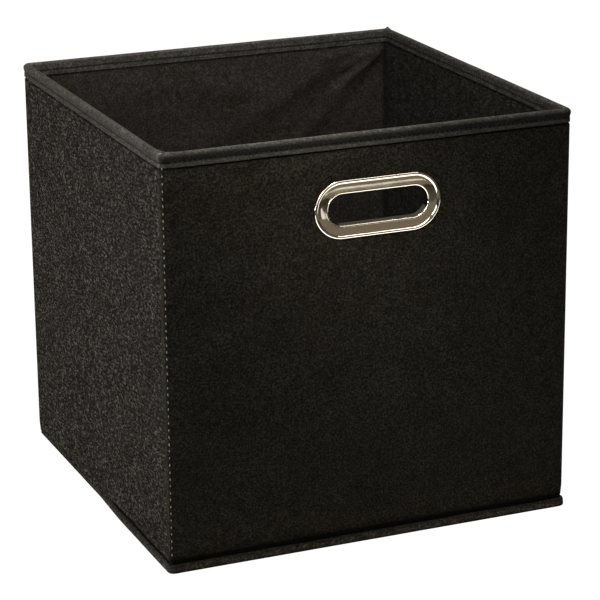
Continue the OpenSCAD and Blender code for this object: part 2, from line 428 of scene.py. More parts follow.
def nonwoven(
    name, rgb, contrast, depth, seams=(), patchy=0.35, stretch=(1.0, 1.0, 1.0), sharp=2.0, band=None
):
    """Matt spun cloth: short matted fibres in small light and dark clumps over broader mottling."""
    s = Shader(name)
    clumps = s.noise(680, 2.0, 0.65, 0.4, stretch)
    fibres = s.noise(1250, 1.0, 0.5, 1.0, stretch)
    matting = s.noise(140, 3.0, 0.6, 0.6)
    broad = s.noise(34, 4.0, 0.65)
    grain = s.math("ADD", s.product(clumps, 0.75), s.product(fibres, 0.25))
    specks = s.math("POWER", s.spread(grain, 0.37, 0.65), sharp)
    tone = s.product(
        s.spread(specks, 0.0, 0.8, 1 - contrast, 1 + 2.2 * contrast),
        s.spread(matting, 0.3, 0.7, 1 - patchy, 1 + patchy),
        s.spread(broad, 0.3, 0.7, 0.82, 1.18),
    )
    # Painted shade into the named seams.
    if seams:
        tone = s.product(tone, painted_seam_shade(s, seams))
    # Painted highlight, painted light and painted shade on the binding.
    if band is not None:
        tone = s.product(tone, painted_binding_light(s, band))
    worn = (rgb[0] * 0.95, rgb[1], rgb[2] * 1.1)
    tint = s.mix(s.spread(broad, 0.35, 0.65), colour(rgb), colour(worn))
    scaled = s.node("ShaderNodeVectorMath", {0: tint, "Scale": tone}, operation="SCALE")
    lumps = s.bump(grain, depth * MM, 1.0)
    normal = s.bump(matting, 0.5 * MM, 0.45, lumps)
    return s.surface(
        Base_Color=scaled.outputs[0],
        Roughness=s.spread(fibres, 0.3, 0.7, 0.7, 0.95),
        Specular_IOR_Level=0.035,
        Sheen_Weight=0.005,
        Sheen_Roughness=0.5,
        Normal=normal,
    )


def thread(name, rgb):
    """Twisted sewing thread."""
    s = Shader(name)
    twist = s.node(
        "ShaderNodeTexWave",
        {"Vector": s.coords, "Scale": 900.0, "Distortion": 1.5, "Detail": 1.0},
        wave_type="BANDS",
        bands_direction="DIAGONAL",
    ).outputs["Fac"]
    tone = s.mix(s.spread(twist, 0.2, 0.8), colour(rgb, 0.55), colour(rgb, 1.25))
    return s.surface(
        Base_Color=tone, Roughness=0.6, Specular_IOR_Level=0.4, Normal=s.bump(twist, 0.08 * MM)
    )


def greyboard(name, rgb):
    """Recycled card with fibres and dark specks."""
    s = Shader(name)
    fibres = s.noise(420, 4.0, 0.7, 1.0, (1.0, 1.0, 0.3))
    specks = s.spread(s.noise(260, 1.0, 0.4), 0.66, 0.72)
    tone = s.mix(s.spread(fibres, 0.3, 0.7), colour(rgb, 0.8), colour(rgb, 1.15))
    tone = s.mix(specks, tone, colour(rgb, 0.45))
    return s.surface(Base_Color=tone, Roughness=0.85, Normal=s.bump(fibres, 0.1 * MM, 0.6))


def plating(name, rgb):
    """Bright nickel-chrome plating over moulded plastic, faintly wavy and lightly worn by rubbing."""
    s = Shader(name)
    waves = s.noise(38, 1.0, 0.4)
    rubs = s.noise(240, 3.0, 0.6, 0.0, (0.25, 1.0, 1.0))
    tone = s.mix(s.spread(rubs, 0.45, 0.75), colour(rgb), colour(rgb, 0.9))
    return s.surface(
        Base_Color=tone,
        Metallic=1.0,
        Roughness=s.spread(rubs, 0.35, 0.75, 0.05, 0.13),
        Normal=s.bump(waves, 1.2 * MM, 0.38),
    )


# A cloth's named seams get painted shade there; the tape gets painted shade towards its top.
OUTER = nonwoven("outer_cloth", (0.011, 0.0094, 0.007), 0.62, 0.3, ("rim", "base"), 0.22)
# The side walls' cloth lies with its fibres along the wall, so its clumps are longer and stronger
ALONG_SIDE = (1.0, 0.42, 1.0)
SIDE_CLOTH = nonwoven("side_cloth", (0.0167, 0.0145, 0.0119), 0.9, 0.7, ("rim",), 0.42, ALONG_SIDE, 3.0)
BASE_CLOTH = nonwoven("base_cloth", (0.011, 0.0094, 0.007), 0.62, 0.3)
LINING = nonwoven("lining_cloth", (0.0225, 0.0193, 0.0162), 0.4, 0.25, ("inside rim", "corner"), 0.25)
# The side walls' lining is the lining cloth at about half its brightness: a painted shade copy for the
# side walls.
SIDE_LINING = nonwoven(
    "side_lining", (0.0115, 0.01, 0.0082), 0.66, 0.3, ("inside rim", "corner"), 0.5, ALONG_SIDE
)
BOARD_CLOTH = nonwoven("board_cloth", (0.023, 0.0198, 0.0162), 0.6, 0.25)
# The end walls' binding: painted shade over the middle of its outside down to band, painted light inside.
BINDING = nonwoven("binding_cloth", (0.027, 0.025, 0.0215), 0.38, 0.3, patchy=0.2, band=0.42)
SIDE_BINDING = nonwoven("side_binding", (0.027, 0.0248, 0.0213), 0.5, 0.4, patchy=0.25, band=1.0)
TAPE_CLOTH = nonwoven("tape_cloth", (0.0255, 0.0234, 0.02), 0.6, 0.25, ("tape",))
# The turned-in seam edges: the cloth's own dark colour, darkened further with painted shade for the
# groove they lie in.
GROOVE_SHADE_CLOTH = nonwoven("seam_cloth", (0.003, 0.0028, 0.0025), 0.5, 0.2)
DARK_THREAD = thread("dark_thread", (0.006, 0.0057, 0.005))
LIGHT_THREAD = thread("light_thread", (0.16, 0.152, 0.137))
CARD = greyboard("grey_card", (0.36, 0.27, 0.18))
PLATED = plating("nickel_plating", (0.77, 0.71, 0.61))

# ---- the walls' outer cloth ----

# Soft folds in the front cloth, in millimetres on the wall: from, to, height, width
FRONT_FOLDS = (
    (-29, 207, -137, 145, 1.6, 10),
    (-12, 288, -112, 266, 1.2, 7),
    (86, 242, 61, 228, 0.8, 6),
    (-143, 84, -113, 89, 0.7, 4),
    (-17, 44, -56, 17, 0.9, 7),
    (120, 120, 60, 60, 0.6, 14),
)
# Folds in the side cloth, by distance from the front corner
SIDE_FOLDS = (
    (40, 240, 130, 215, 0.5, 9),
    (180, 150, 270, 95, 0.5, 11),
    (20, 60, 90, 85, 0.4, 8),
)
BACK_FOLDS = (
    (-100, 230, 20, 180, 0.8, 12),
    (60, 250, 130, 205, 0.6, 8),
    (-40, 80, 60, 40, 0.6, 10),
)


def swell(points, a, z, low, lines, seed):
    """How far a wall's cloth stands off its card: broad waves and folds, none at edges and hems."""
    waves = 0.28 * MM * (1 + soft(points, 11, seed)) + 0.07 * MM * soft(points, 70, seed + 9)
    inside = fade(z, low, low + 14 * MM) * fade(RIM_LOW - z, -2 * MM, 9 * MM)
    return (np.maximum(waves, 0) + folds(a, z, lines)) * inside


def hem(z, low):
    """Inward curl of a wall's cloth at its lower edge."""
    t = np.clip((low + HEM_REACH - z) / HEM_REACH, 0, 1)
    return HEM_REACH * (1 - np.sqrt(1 - t * t))


def wall_levels(low, step):
    """Heights up a wall, closer together round the hem and where the cloth goes under the rim."""
    near = low + HEM_REACH * (1 - np.cos(np.radians(np.linspace(0, 90, 6))))
    wall = spaced(low + HEM_REACH, RIM_LOW - 3 * MM, step)[1:]
    tuck = spaced(RIM_LOW - 3 * MM, RIM_LOW + 0.5 * MM, 0.35 * MM)[1:]
    return np.concatenate([near, wall, tuck, spaced(RIM_LOW + 0.5 * MM, WALL_TOP, step)[1:]])


def standing(z, low):
    """How far the cloth stands off its card: drawn in under the rim and towards the base seam."""
    at_rim = fade(RIM_LOW - z, 0.4 * MM, 2.0 * MM)
    at_base = 0.25 + 0.75 * fade(z, low, low + 9 * MM)
    return CLOTH_STANDS * at_rim * at_base


def cloth_shell(run, z, offset):
    """The outer cloth along a run, from the offsets of its outer face."""
    laps = LAP_DROP * fade(run.lap, 0, math.radians(12))
    outer = run.at(offset - laps[:, None], z)
    inner = run.at(offset - laps[:, None] - CLOTH_T, z)
    return outer, inner


# The ring's middle, the radius of its round ends, half its straight length, and its hole
RING_X = (RING_LOW.x + RING_HIGH.x) / 2
RING_Z = (RING_LOW.z + RING_HIGH.z) / 2
RING_R = (RING_HIGH.z - RING_LOW.z) / 2
RING_HALF = (RING_HIGH.x - RING_LOW.x) / 2 - RING_R
RING_HOLE_R = RING_R - 10 * MM
HOLE_CUT_R = RING_HOLE_R + 2.6 * MM


def ring_distance(x, z):
    """Distance from the ring's middle line."""
    return np.hypot(np.maximum(np.abs(x - RING_X) - RING_HALF, 0), z - RING_Z)


def cut_hand_hole(outer):
    """Which cells of a front wall layer are kept, after its outer face is drawn to the hole's edge."""
    x, z = outer[..., 0], outer[..., 2]
    middle = (outer[:-1, :-1] + outer[1:, :-1] + outer[:-1, 1:] + outer[1:, 1:]) / 4
    keep = ring_distance(middle[..., 0], middle[..., 2]) > HOLE_CUT_R + CLOTH_GRID / 2
    gone = np.zeros(x.shape, bool)
    for di in (0, 1):
        for dj in (0, 1):
            gone[di : di + keep.shape[0], dj : dj + keep.shape[1]] |= ~keep
    dx = x - np.clip(x, RING_X - RING_HALF, RING_X + RING_HALF)
    dz = z - RING_Z
    pull = np.where(gone, HOLE_CUT_R / np.maximum(np.hypot(dx, dz), 1e-9) - 1, 0)
    outer[..., 0] += dx * pull
    outer[..., 2] += dz * pull
    return keep


# How far the base seam's layers are shifted where it is tucked under
CLOTH_TUCK = 5.6 * MM
TAPE_TUCK = 2.6 * MM
ALLOWANCE_TUCK = 2.2 * MM


def tucked(foot):
    """How much of the base seam is tucked under the wall at each foot: all of it at the back left."""
    return fade(foot[:, 1], -60 * MM, 40 * MM) * fade(-foot[:, 0], HINGE - 35 * MM, HINGE - 5 * MM)


def tuck_drop(run, z, low):
    """How far the cloth reaches down over the tucked base seam, by station and level."""
    return CLOTH_TUCK * tucked(run.foot)[:, None] * (1 - fade(z, low, low + 40 * MM))


def turned(run, side):
    """How far an end wall's run has turned at each station, in degrees: -90 left to 90 right."""
    return np.degrees(np.arctan2(run.out[:, 0], side * run.out[:, 1]))


def sewn_ridge(run):
    """How far the sewn corner at the front left stands out in a ridge, by station."""
    return 1.1 * MM * np.exp(-(((turned(run, -1) + 45) / 20) ** 2))


def outer_cloth():
    """The outer cloth of the four walls, the side walls' mesh closer together round their creases."""
    made = {}
    for wall, card_low, lines, seed, material in (
        ("front", FRONT_LOW, FRONT_FOLDS, 2.1, OUTER),
        ("back", BACK_LOW, BACK_FOLDS, 4.1, OUTER),
        ("left", FRONT_LOW, SIDE_FOLDS, 7.3, SIDE_CLOTH),
        ("right", FRONT_LOW, SIDE_FOLDS, 9.3, SIDE_CLOTH),
    ):
        low = card_low + HEM_UP
        run, along, from_corner = wall_run(wall, CLOTH_GRID, CLOTH_LAP)
        z = wall_levels(low, CLOTH_GRID)
        rise = swell(run.at(CLOTH_OUT, z), along, z, low, lines, seed)
        rise = rise * fade(from_corner, 0, 9 * MM) + standing(z, low)
        if wall == "front":
            rise = rise * fade(ring_distance(along, z), RING_R - 3 * MM, RING_R + 7 * MM)
            rise = rise + sewn_ridge(run)[:, None] * fade(RIM_LOW - z, 0, 2 * MM)
        outer, inner = cloth_shell(run, z, CLOTH_OUT + rise - hem(z, low))
        for grid in (outer, inner):
            grid[..., 2] -= tuck_drop(run, z, low)
        keep = cut_hand_hole(outer) if wall == "front" else None
        made[wall] = shell_piece(wall + "_outer_cloth", outer, inner, material, keep)
    return made


# ---- the lining ----

# Folds in the lining seen from inside, in millimetres across each wall
BACK_LINING_FOLDS = (
    (147, 290, 108, 270, 2.0, 2.8),
    (147, 285, 98, 250, 1.8, 3.2),
    (140, 291, 90, 281, 1.2, 2.8),
    (148, 288, 62, 206, 1.5, 7),
    (128, 292, 30, 236, 1.3, 8),
    (96, 276, -20, 214, 1.0, 12),
    (-60, 270, 40, 262, 0.8, 9),
)
SIDE_LINING_FOLDS = ((40, 270, 110, 250, 0.4, 8), (180, 200, 250, 230, 0.4, 9))


def lining_cloth():
    """The lining of the four walls, let sag a little into the box."""
    made = {}
    for wall, low, step, lines, seed, material in (
        ("front", FRONT_LOW, LINING_GRID, (), 20.7, LINING),
        ("back", BACK_LOW, CLOTH_GRID, BACK_LINING_FOLDS, 22.7, LINING),
        ("left", FRONT_LOW, LINING_GRID, SIDE_LINING_FOLDS, 30.3, SIDE_LINING),
        ("right", FRONT_LOW, LINING_GRID, SIDE_LINING_FOLDS, 32.3, SIDE_LINING),
    ):
        run, along, from_corner = wall_run(wall, step, LINING_LAP)
        z = spaced(low, WALL_TOP, step)
        rise = swell(run.at(LINING_IN, z), along, z, low, lines, seed)
        rise = rise * fade(from_corner, 0, 7 * MM)
        if wall == "front":
            rise = rise * fade(ring_distance(along, z), RING_R, RING_R + 9 * MM)
        inner = run.at(LINING_IN - rise, z)
        outer = run.at(LINING_IN + CLOTH_T - rise * 0.6, z)
        keep = cut_hand_hole(outer) if wall == "front" else None
        made[wall] = shell_piece(wall + "_lining_cloth", outer, inner, material, keep)
    return made


# ---- the rim binding and its stitches ----

RIM_T = 0.8 * MM
RIM_PITCH = 3.6 * MM
# The corner where the binding gathers into a soft bend inside, and how far that reaches
SOFT_BEND = 12 * MM


def rim_profile():
    """Section of the folded binding: (offset, height) round the closed outline."""
    r = RIM_OUT / 2
    top = RIM_TOP - r
    lip = RIM_T / 2
    rise = list(np.linspace(RIM_LOW + lip, top, 13))
    outside = [(RIM_OUT, h) for h in rise]
    over = arc(r, top, r, 0, 180, 14)[1:-1]
    inside = [(0.0, h) for h in reversed(rise)]
    hem_in = arc(lip, RIM_LOW + lip, lip, 180, 360, 4)[1:]
    under_in = [(RIM_T, top)]
    under = arc(r, top, r - RIM_T, 180, 0, 10)[1:-1]
    under_out = [(RIM_OUT - RIM_T, top)]
    hem_out = arc(RIM_OUT - lip, RIM_LOW + lip, lip, 180, 360, 4)[:-1]
    return np.array(outside + over + inside + hem_in + under_in + under + under_out + hem_out)


def sewn_dip(z, flared):
    """How far the binding is pulled in at its sewing line, and how it flares below it."""
    up = z - RIM_LOW
    dip = 0.25 * MM * np.exp(-(((up - SEW_UP) / (0.8 * MM)) ** 2))
    flare = flared * 0.6 * MM * fade(SEW_UP - up, 0, SEW_UP)
    crown = 0.5 * MM * fade(up, SEW_UP, 7.2 * MM) * fade(RIM_TOP - RIM_LOW - up, 0, 3 * MM)
    return dip - flare - crown


def corner_fillet(distance):
    """How far a soft bend stands into the box at a distance from the hinge line."""
    d = np.clip(distance, SOFT_BEND * (1 - math.sqrt(0.5)), SOFT_BEND)
    return SOFT_BEND - np.sqrt(SOFT_BEND**2 - (SOFT_BEND - d) ** 2)


def rim_rings(run, seed, bend, peak, flared):
    """Rings of the binding along a run, by station: its inward bend, its peak and its lower flare."""
    offset, z = rim_profile().T
    face = np.abs(offset - RIM_OUT / 2) / (RIM_OUT / 2)
    outside = offset > RIM_OUT / 2
    shaped = sewn_dip(z, flared[:, None]) * fade(face, 0.5, 0.95)
    lie = run.at(offset, z)
    shaped = shaped - 0.16 * MM * soft(lie, 45, seed) * fade(RIM_TOP - z, 0, 4 * MM)
    offset = np.where(outside, offset - shaped, offset + shaped)
    offset = offset - bend[:, None] * (1 - np.clip(offset / RIM_OUT, 0, 1))
    z = z + 0.28 * MM * soft(lie, 28, seed + 5) * fade(RIM_LOW + 4 * MM - z, 0, 4 * MM)
    z = z + (0.16 * MM * soft(lie, 33, seed + 11) + peak[:, None]) * fade(z, RIM_LOW, RIM_TOP)
    laps = LAP_DROP * fade(run.lap, 0, math.radians(8))
    offset = np.maximum(offset - laps[:, None], 0.12 * MM - bend[:, None])
    z = z - laps[:, None] * (z > RIM_LOW + 2 * MM)
    return run.at(offset, z)


def stitch_row(name, stitches, material, length, width, lean, spread):
    """One piece of separate stitches, each a short capsule that sinks at both ends.

    A stitch is its middle, its direction out of the cloth and its direction along it.
    """
    points, faces = [], []
    sides, rings = 8, 7
    for foot, out, up in stitches:
        out = Vector(out).normalized()
        up = Vector(up).normalized()
        tilt = lean + spread * RNG.uniform(-1, 1)
        up = (up + out.cross(up).normalized() * tilt).normalized()
        across = out.cross(up).normalized()
        size = length * (1 + 1.2 * spread * RNG.uniform(-1, 1))
        start = len(points)
        for i in range(rings):
            t = i / (rings - 1)
            thick = width / 2 * max(0.25, math.sin(math.pi * t)) ** 0.45
            rise = width * (0.75 * math.sin(math.pi * t) - 0.45)
            middle = Vector(foot) + up * (size * (t - 0.5)) + out * rise
            for j in range(sides):
                a = 2 * math.pi * j / sides
                points.append(middle + across * (thick * math.cos(a)) + out * (thick * 0.8 * math.sin(a)))
        faces += loft_faces(rings, sides, False, start)
    return make_piece(name, np.array([tuple(p) for p in points]), faces, material, 60)


def rim_row(start, end, out):
    """Stitches spaced evenly along a line on one face of the binding."""
    start = Vector(start)
    along = Vector(end) - start
    count = int(along.length / RIM_PITCH)
    return [(start + along * ((i + 0.5) / count), out, along) for i in range(count)]


def binding():
    """The binding of the four rims, gathered in the front left corner and peaked at the back right."""
    made = {}
    for wall, seed, material in (
        ("front", 40, BINDING),
        ("back", 42, BINDING),
        ("left", 50, SIDE_BINDING),
        ("right", 52, SIDE_BINDING),
    ):
        run, _, from_corner = wall_run(wall, RIM_GRID, RIM_LAP)
        x, y = run.foot[:, 0], run.foot[:, 1]
        none = 0 * x
        bend, peak = none, none
        flared = fade(from_corner[:, 0], 0, 12 * MM)
        if wall == "front":
            bend = np.where(x > -HINGE, corner_fillet(x + HINGE), 0) * (run.lap == 0)
        if wall == "left":
            bend = corner_fillet(y + HINGE)
        if wall == "right":
            flared = none
        if wall == "back":
            tip = np.exp(-(((turned(run, 1) - 45) / 25) ** 2))
            peak = 1.6 * MM * tip * (HINGE - x < 1 * MM)
        rings = rim_rings(run, seed, bend, peak, flared)
        made[wall] = loft_piece(wall + "_binding", rings, material, smooth_deg=50)
    return made


def stitch_lines():
    """Where the rims are sewn: for each stiff half or wall, each line's ends and direction out."""
    z = RIM_LOW + SEW_UP
    outside, inside = RIM_FACE - 0.2 * MM, HINGE + 0.2 * MM
    edge, corner_gap, crease = HINGE - 2 * MM, HINGE - 11 * MM, 5 * MM
    lines = {}
    for wall, side in END_WALLS.items():
        lines[wall] = [
            ((-edge, side * outside, z), (edge, side * outside, z), (0, side, 0)),
            ((-corner_gap, side * inside, z), (corner_gap, side * inside, z), (0, -side, 0)),
        ]
    for wall, side in SIDE_WALLS.items():
        for half, way in ((wall + "_rear", 1), (wall + "_front", -1)):
            lines[half] = [
                ((side * face, way * crease, z), (side * face, way * far, z), (out, 0, 0))
                for face, far, out in ((outside, edge, side), (inside, corner_gap, -side))
            ]
    return lines


def sew_rims():
    """The dark sewing through the rims, one piece for each body it rides on."""
    for part, lines in stitch_lines().items():
        body = part + "_wall" if part in END_WALLS else part
        stitches = [stitch for line in lines for stitch in rim_row(*line)]
        name = part + "_binding_stitches"
        piece = stitch_row(name, stitches, DARK_THREAD, 2.7 * MM, 0.36 * MM, 0.05, 0.03)
        attach(piece, body, [part + "_rim_thread"])


def sew_corner():
    """The sewn corner at the front left: light thread, each stitch a little different."""
    low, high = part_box("corner_stitches")
    middle = (low + high) / 2
    out = Vector((middle.x + HINGE, middle.y + HINGE, 0)).normalized()
    pitch, length = 5.1 * MM, 2.0 * MM
    stitches = []
    for i in range(int((high.z + 2 * pitch - low.z) / pitch)):
        z = low.z + length / 2 + i * pitch
        offset = RIM_OUT if z > RIM_LOW else CLOTH_OUT + CLOTH_STANDS + 1.0 * MM
        foot = Vector((-HINGE, -HINGE, z)) + out * (offset - 0.05 * MM)
        shift = Vector((0, 0, 0.25 * MM * RNG.uniform(-1, 1)))
        stitches.append((foot + shift, out, (0, 0, 1)))
    piece = stitch_row("corner_seam_stitches", stitches, LIGHT_THREAD, length, 0.7 * MM, 0.1, 0.16)
    attach(piece, "front_wall", ["corner_stitches"])


# ---- the handle ring ----

BEAD_R = 1.35 * MM
RING_FACE_Y = -RING_LOW.y - WALL_FACE
SLEEVE_T = 1.4 * MM


def ring_front_profile():
    """(distance from the ring's middle line, height off the cloth) round the closed section."""
    h = RING_FACE_Y
    outer, hole = RING_R, RING_HOLE_R
    bead = arc(outer - BEAD_R, 0.55 * MM, BEAD_R, -28, 128, 12)
    groove = [(outer - 2 * BEAD_R - 0.1 * MM, 1.05 * MM)]
    band_in, band_out = hole + 1.5 * MM, outer - 2 * BEAD_R - 0.7 * MM
    band = []
    for t in np.linspace(0, 1, 9):
        band.append((band_out + (band_in - band_out) * t, 1.15 * MM + (h - 1.25 * MM) * t**0.8))
    lip = arc(hole + 1.3 * MM, h - 1.3 * MM, 1.3 * MM, 85, 180, 9)
    depth = -(REAR_HIGH.y + WALL_FACE) - 0.6 * MM
    sleeve = [(hole, depth + 0.3 * MM), (hole + 0.3 * MM, depth)]
    back = [(hole + SLEEVE_T - 0.3 * MM, depth), (hole + SLEEVE_T, depth + 0.3 * MM)]
    back += [(hole + SLEEVE_T, -0.02 * MM), (outer - 0.5 * MM, 0.02 * MM)]
    return bead + groove + band + lip + sleeve + back


def ring_rear_profile():
    """The same for the ring behind the wall, with heights below the cloth negative."""
    h = REAR_HIGH.y + WALL_FACE
    wall = REAR_LOW.y + WALL_FACE
    hole = RING_HOLE_R + SLEEVE_T + 0.1 * MM
    inner = [(hole, -wall), (hole, -h + 0.2 * MM), (hole + 0.2 * MM, -h)]
    return inner + arc(RING_R - (h - wall), -wall, h - wall, 270, 360, 8)


def oval_sweep(profile, segments=40, straights=14):
    """Rings of a section carried round the oval, from its middle line outwards."""
    stations = []
    for s in (1, -1):
        for t in np.radians(np.linspace(-90, 90, segments + 1)):
            stations.append((RING_X + s * RING_HALF, s * math.cos(t), s * math.sin(t)))
        for t in np.linspace(0, 1, straights + 1)[1:-1]:
            stations.append((RING_X + s * RING_HALF * (1 - 2 * t), 0.0, s))
    return [
        [(x + ox * r, -WALL_FACE - h, RING_Z + oz * r) for r, h in profile] for x, ox, oz in stations
    ]


def handle_ring():
    """The plated ring in two pieces: the face with its sleeve, and the flat ring behind the wall."""
    for name, profile, node in (
        ("handle_ring_face", ring_front_profile(), "handle_ring_front"),
        ("handle_ring_back", ring_rear_profile(), "handle_ring_rear"),
    ):
        piece = loft_piece(name, oval_sweep(profile), PLATED, True, 35)
        attach(piece, "front_wall", [node])


# ---- the base: cloth, bound seam and board ----

TAPE_TOP = SEAM_TOP - 0.5 * MM
TAPE_T = 0.7 * MM
SEAM_CORNER_R = 5 * MM


def seam_run(which, step):
    """Along the base seam with rounded corners; feet lie where the seam's section starts."""
    far = SEAM_FACE - SEAM_CORNER_R
    if which in END_WALLS:
        return turned_run(END_WALLS[which], far, np.linspace(-QUARTER, 0, 10), step)
    side = SIDE_WALLS[which]
    y = -spaced(-far, far, step)
    return Run([(side * far, v) for v in y], [(side, 0)] * len(y), 0 * y)


def strip_outline(path, thickness):
    """Closed outline of a strip of that thickness whose middle follows a path of points."""
    path = np.array(path)
    way = np.gradient(path, axis=0)
    way /= np.linalg.norm(way, axis=1)[:, None]
    side = np.stack([-way[:, 1], way[:, 0]], axis=1) * thickness / 2
    return np.concatenate([path + side, (path - side)[::-1]])


def tape_profile():
    """Section of the seam tape, folded up round the seam: (offset from the wall's face, height)."""
    reach = SEAM_FACE - WALL_FACE - TAPE_T / 2
    under, top = TAPE_T / 2, TAPE_TOP - TAPE_T / 2
    inside = [(-1.9 * MM, 4.6 * MM), (-2.0 * MM, 2.4 * MM), (-2.0 * MM, 0.9 * MM)]
    below = [(-1.5 * MM, under), (-0.3 * MM, under), (1.0 * MM, under)]
    face = [(reach - 0.2 * MM, 0.65 * MM), (reach, 1.6 * MM), (reach - 0.02 * MM, 2.9 * MM)]
    over = [(reach - 0.25 * MM, top - 1.0 * MM), (reach - 0.7 * MM, top - 0.25 * MM)]
    over += [(reach - 1.3 * MM, top), (reach - 1.9 * MM, top - 0.35 * MM)]
    over += [(reach - 2.2 * MM, top - 1.0 * MM)]
    return strip_outline(inside + below + face + over, TAPE_T)


def base_tapes():
    """The tape round the base seam: soft, a little wavy, puckered at the corners."""
    made = {}
    from_wall, height = tape_profile().T
    high = fade(height, 0.2 * MM, TAPE_TOP)
    start = from_wall + SEAM_CORNER_R - (SEAM_FACE - WALL_FACE)
    for seed, which in enumerate(("front", "back", "left", "right")):
        run = seam_run(which, TAPE_GRID)
        lie = run.at(start, height)
        corner = np.minimum(np.abs(run.foot).min(axis=1), SEAM_FACE)
        near = fade(corner, SEAM_FACE - SEAM_CORNER_R - 14 * MM, SEAM_FACE - SEAM_CORNER_R)[:, None]
        wave = 0.34 * MM * soft(lie, 42, 60 + seed) + near * 0.5 * MM * soft(lie, 210, 70 + seed)
        offset = start + wave * (0.35 + 0.65 * high) * fade(from_wall, -0.5 * MM, 1 * MM)
        offset = offset - TAPE_TUCK * tucked(run.foot)[:, None] * (from_wall > 0)
        lift = 0.45 * MM * soft(lie, 36, 80 + seed) + near * 0.5 * MM * soft(lie, 160, 90)
        rings = run.at(offset, height + high * lift)
        made[which] = loft_piece(which + "_base_tape", rings, TAPE_CLOTH, smooth_deg=70)
    return made


def seam_allowance():
    """The turned-in cloth edges in the groove between each wall and the tape."""
    made = {}
    face = WALL_FACE - SEAM_FACE + SEAM_CORNER_R
    high = FRONT_LOW + HEM_UP + 0.3 * MM
    section = [(face - 1.4 * MM, 0.9 * MM), (face + 1.1 * MM, 0.9 * MM), (face + 1.1 * MM, 3.4 * MM)]
    section += [(face, 4.4 * MM), (face - 0.9 * MM, 6.0 * MM), (face - 1.0 * MM, high)]
    section += [(face - 1.7 * MM, high), (face - 1.5 * MM, 4.0 * MM)]
    offset, z = np.array(section).T
    for which in ("front", "back", "left", "right"):
        run = seam_run(which, ALLOWANCE_GRID)
        rings = run.at(offset - ALLOWANCE_TUCK * tucked(run.foot)[:, None], z)
        # Near-black cloth: painted shade in the groove between wall and tape.
        made[which] = loft_piece(which + "_seam_allowance", rings, GROOVE_SHADE_CLOTH, smooth_deg=30)
    return made


def flat_grid(half, z, corner, count):
    """A grid of points over a flat square with slightly rounded corners."""
    u = np.linspace(-half, half, count)
    flat = np.stack(np.meshgrid(u, u, indexing="ij"), axis=-1)
    over = np.maximum(np.abs(flat) - (half - corner), 0)
    far = np.hypot(over[..., 0], over[..., 1])
    pull = np.where(far > corner, 1 - corner / np.maximum(far, 1e-9), 0)
    flat = flat - np.sign(flat) * over * pull[..., None]
    return np.concatenate([flat, np.full_like(flat[..., :1], z)], axis=-1)


def base_sheet():
    """The base cloth, which lies on the floor inside the seam."""
    half = SEAM_FACE - 4.2 * MM
    top = flat_grid(half, BASE_TOP - 0.02 * MM, 4 * MM, 90)
    under = flat_grid(half, 0.0, 4 * MM, 90)
    under[..., 2] = 0.12 * MM * (1 + soft(under, 30, 4.4)) * (np.abs(under[..., 0]) < half - 8 * MM)
    return shell_piece("base_cloth_sheet", top, under, BASE_CLOTH)


def board_cover():
    """The cloth drawn tight round the base board, with barely rounded edges and corners."""
    edge, corner = 0.5 * MM, 0.9 * MM
    low, high = BOARD_LOW.z, BOARD_HIGH.z - 0.05 * MM
    outline = arc(-edge, high - edge, edge, 90, 0, 4) + arc(-edge, low + edge, edge, 0, -90, 4)
    points, faces = [], []
    for cx, cy, start in ((1, 1, 0), (-1, 1, 90), (-1, -1, 180), (1, -1, 270)):
        x, y = cx * (BOARD_HIGH.x - corner), cy * (BOARD_HIGH.y - corner)
        for turn in np.radians(np.linspace(start, start + 90, 5)):
            for inset, z in outline:
                reach = corner + inset
                points.append((x + reach * math.cos(turn), y + reach * math.sin(turn), z))
    sides = len(outline)
    count = len(points) // sides
    for i in range(count):
        here, there = i * sides, (i + 1) % count * sides
        for j in range(sides - 1):
            faces.append((here + j, here + j + 1, there + j + 1, there + j))
    faces.append(tuple(i * sides for i in range(count)))
    faces.append(tuple(i * sides + sides - 1 for i in reversed(range(count))))
    return make_piece("base_board_cloth", np.array(points), faces, BOARD_CLOTH, 50)


# ---- assembly ----


def bend_at_crease(piece):
    """Bakes a side wall's piece, which spans both halves of the wall, into place; it rides on neither
    half's body.
    """
    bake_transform(piece)


def attach_walls():
    """The four walls' cloth, lining and binding, each with the card under it."""
    wall_height = WALL_TOP - FRONT_LOW
    strip = 2 * (RIM_TOP - RIM_LOW) + 2 * MM
    layers = (
        (outer_cloth(), "outer_cloth", "cloth", CLOTH_LAP, CLOTH_OUT, wall_height, "stretched"),
        (lining_cloth(), "lining_cloth", "lining", LINING_LAP, LINING_IN, wall_height, "stretched"),
        (binding(), "binding", "rim", RIM_LAP, RIM_OUT / 2, strip, "folded"),
    )
    for wall in ("front", "back", "left", "right"):
        for made, kind, node, lap, offset, height, held in layers:
            piece = made[wall]
            if wall in END_WALLS:
                attach(piece, wall + "_wall", [f"{wall}_{node}"])
            else:
                nodes = [f"{wall}_rear_{node}", f"{wall}_front_{node}"]
                attach(piece, None, nodes)
                bend_at_crease(piece)


def attach_base():
    """The soft base, carried on the back wall's body, and the loose board."""
    base_parts = []
    for made, node, slot, height in (
        (base_tapes(), "seam_tape_", "binding", 14 * MM),
        (seam_allowance(), "seam_fold_", "outer_cloth", 10 * MM),
    ):
        for which, piece in made.items():
            attach(piece, "back_wall", [node + which])
            base_parts.append(piece)
    sheet = base_sheet()
    attach(sheet, "back_wall", ["base_cloth"])
    base_parts.append(sheet)
    for piece in base_parts:
        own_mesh(piece)

    attach(board_cover(), "base_board", ["base_board_cover"])


def show_cards():
    """The stiff cards inside the walls and the board keep their CAD shape."""
    for node, piece in frame["nodes"].items():
        if node.endswith("_card"):
            piece.data.materials.clear()
            piece.data.materials.append(CARD)


# ---- studio ----


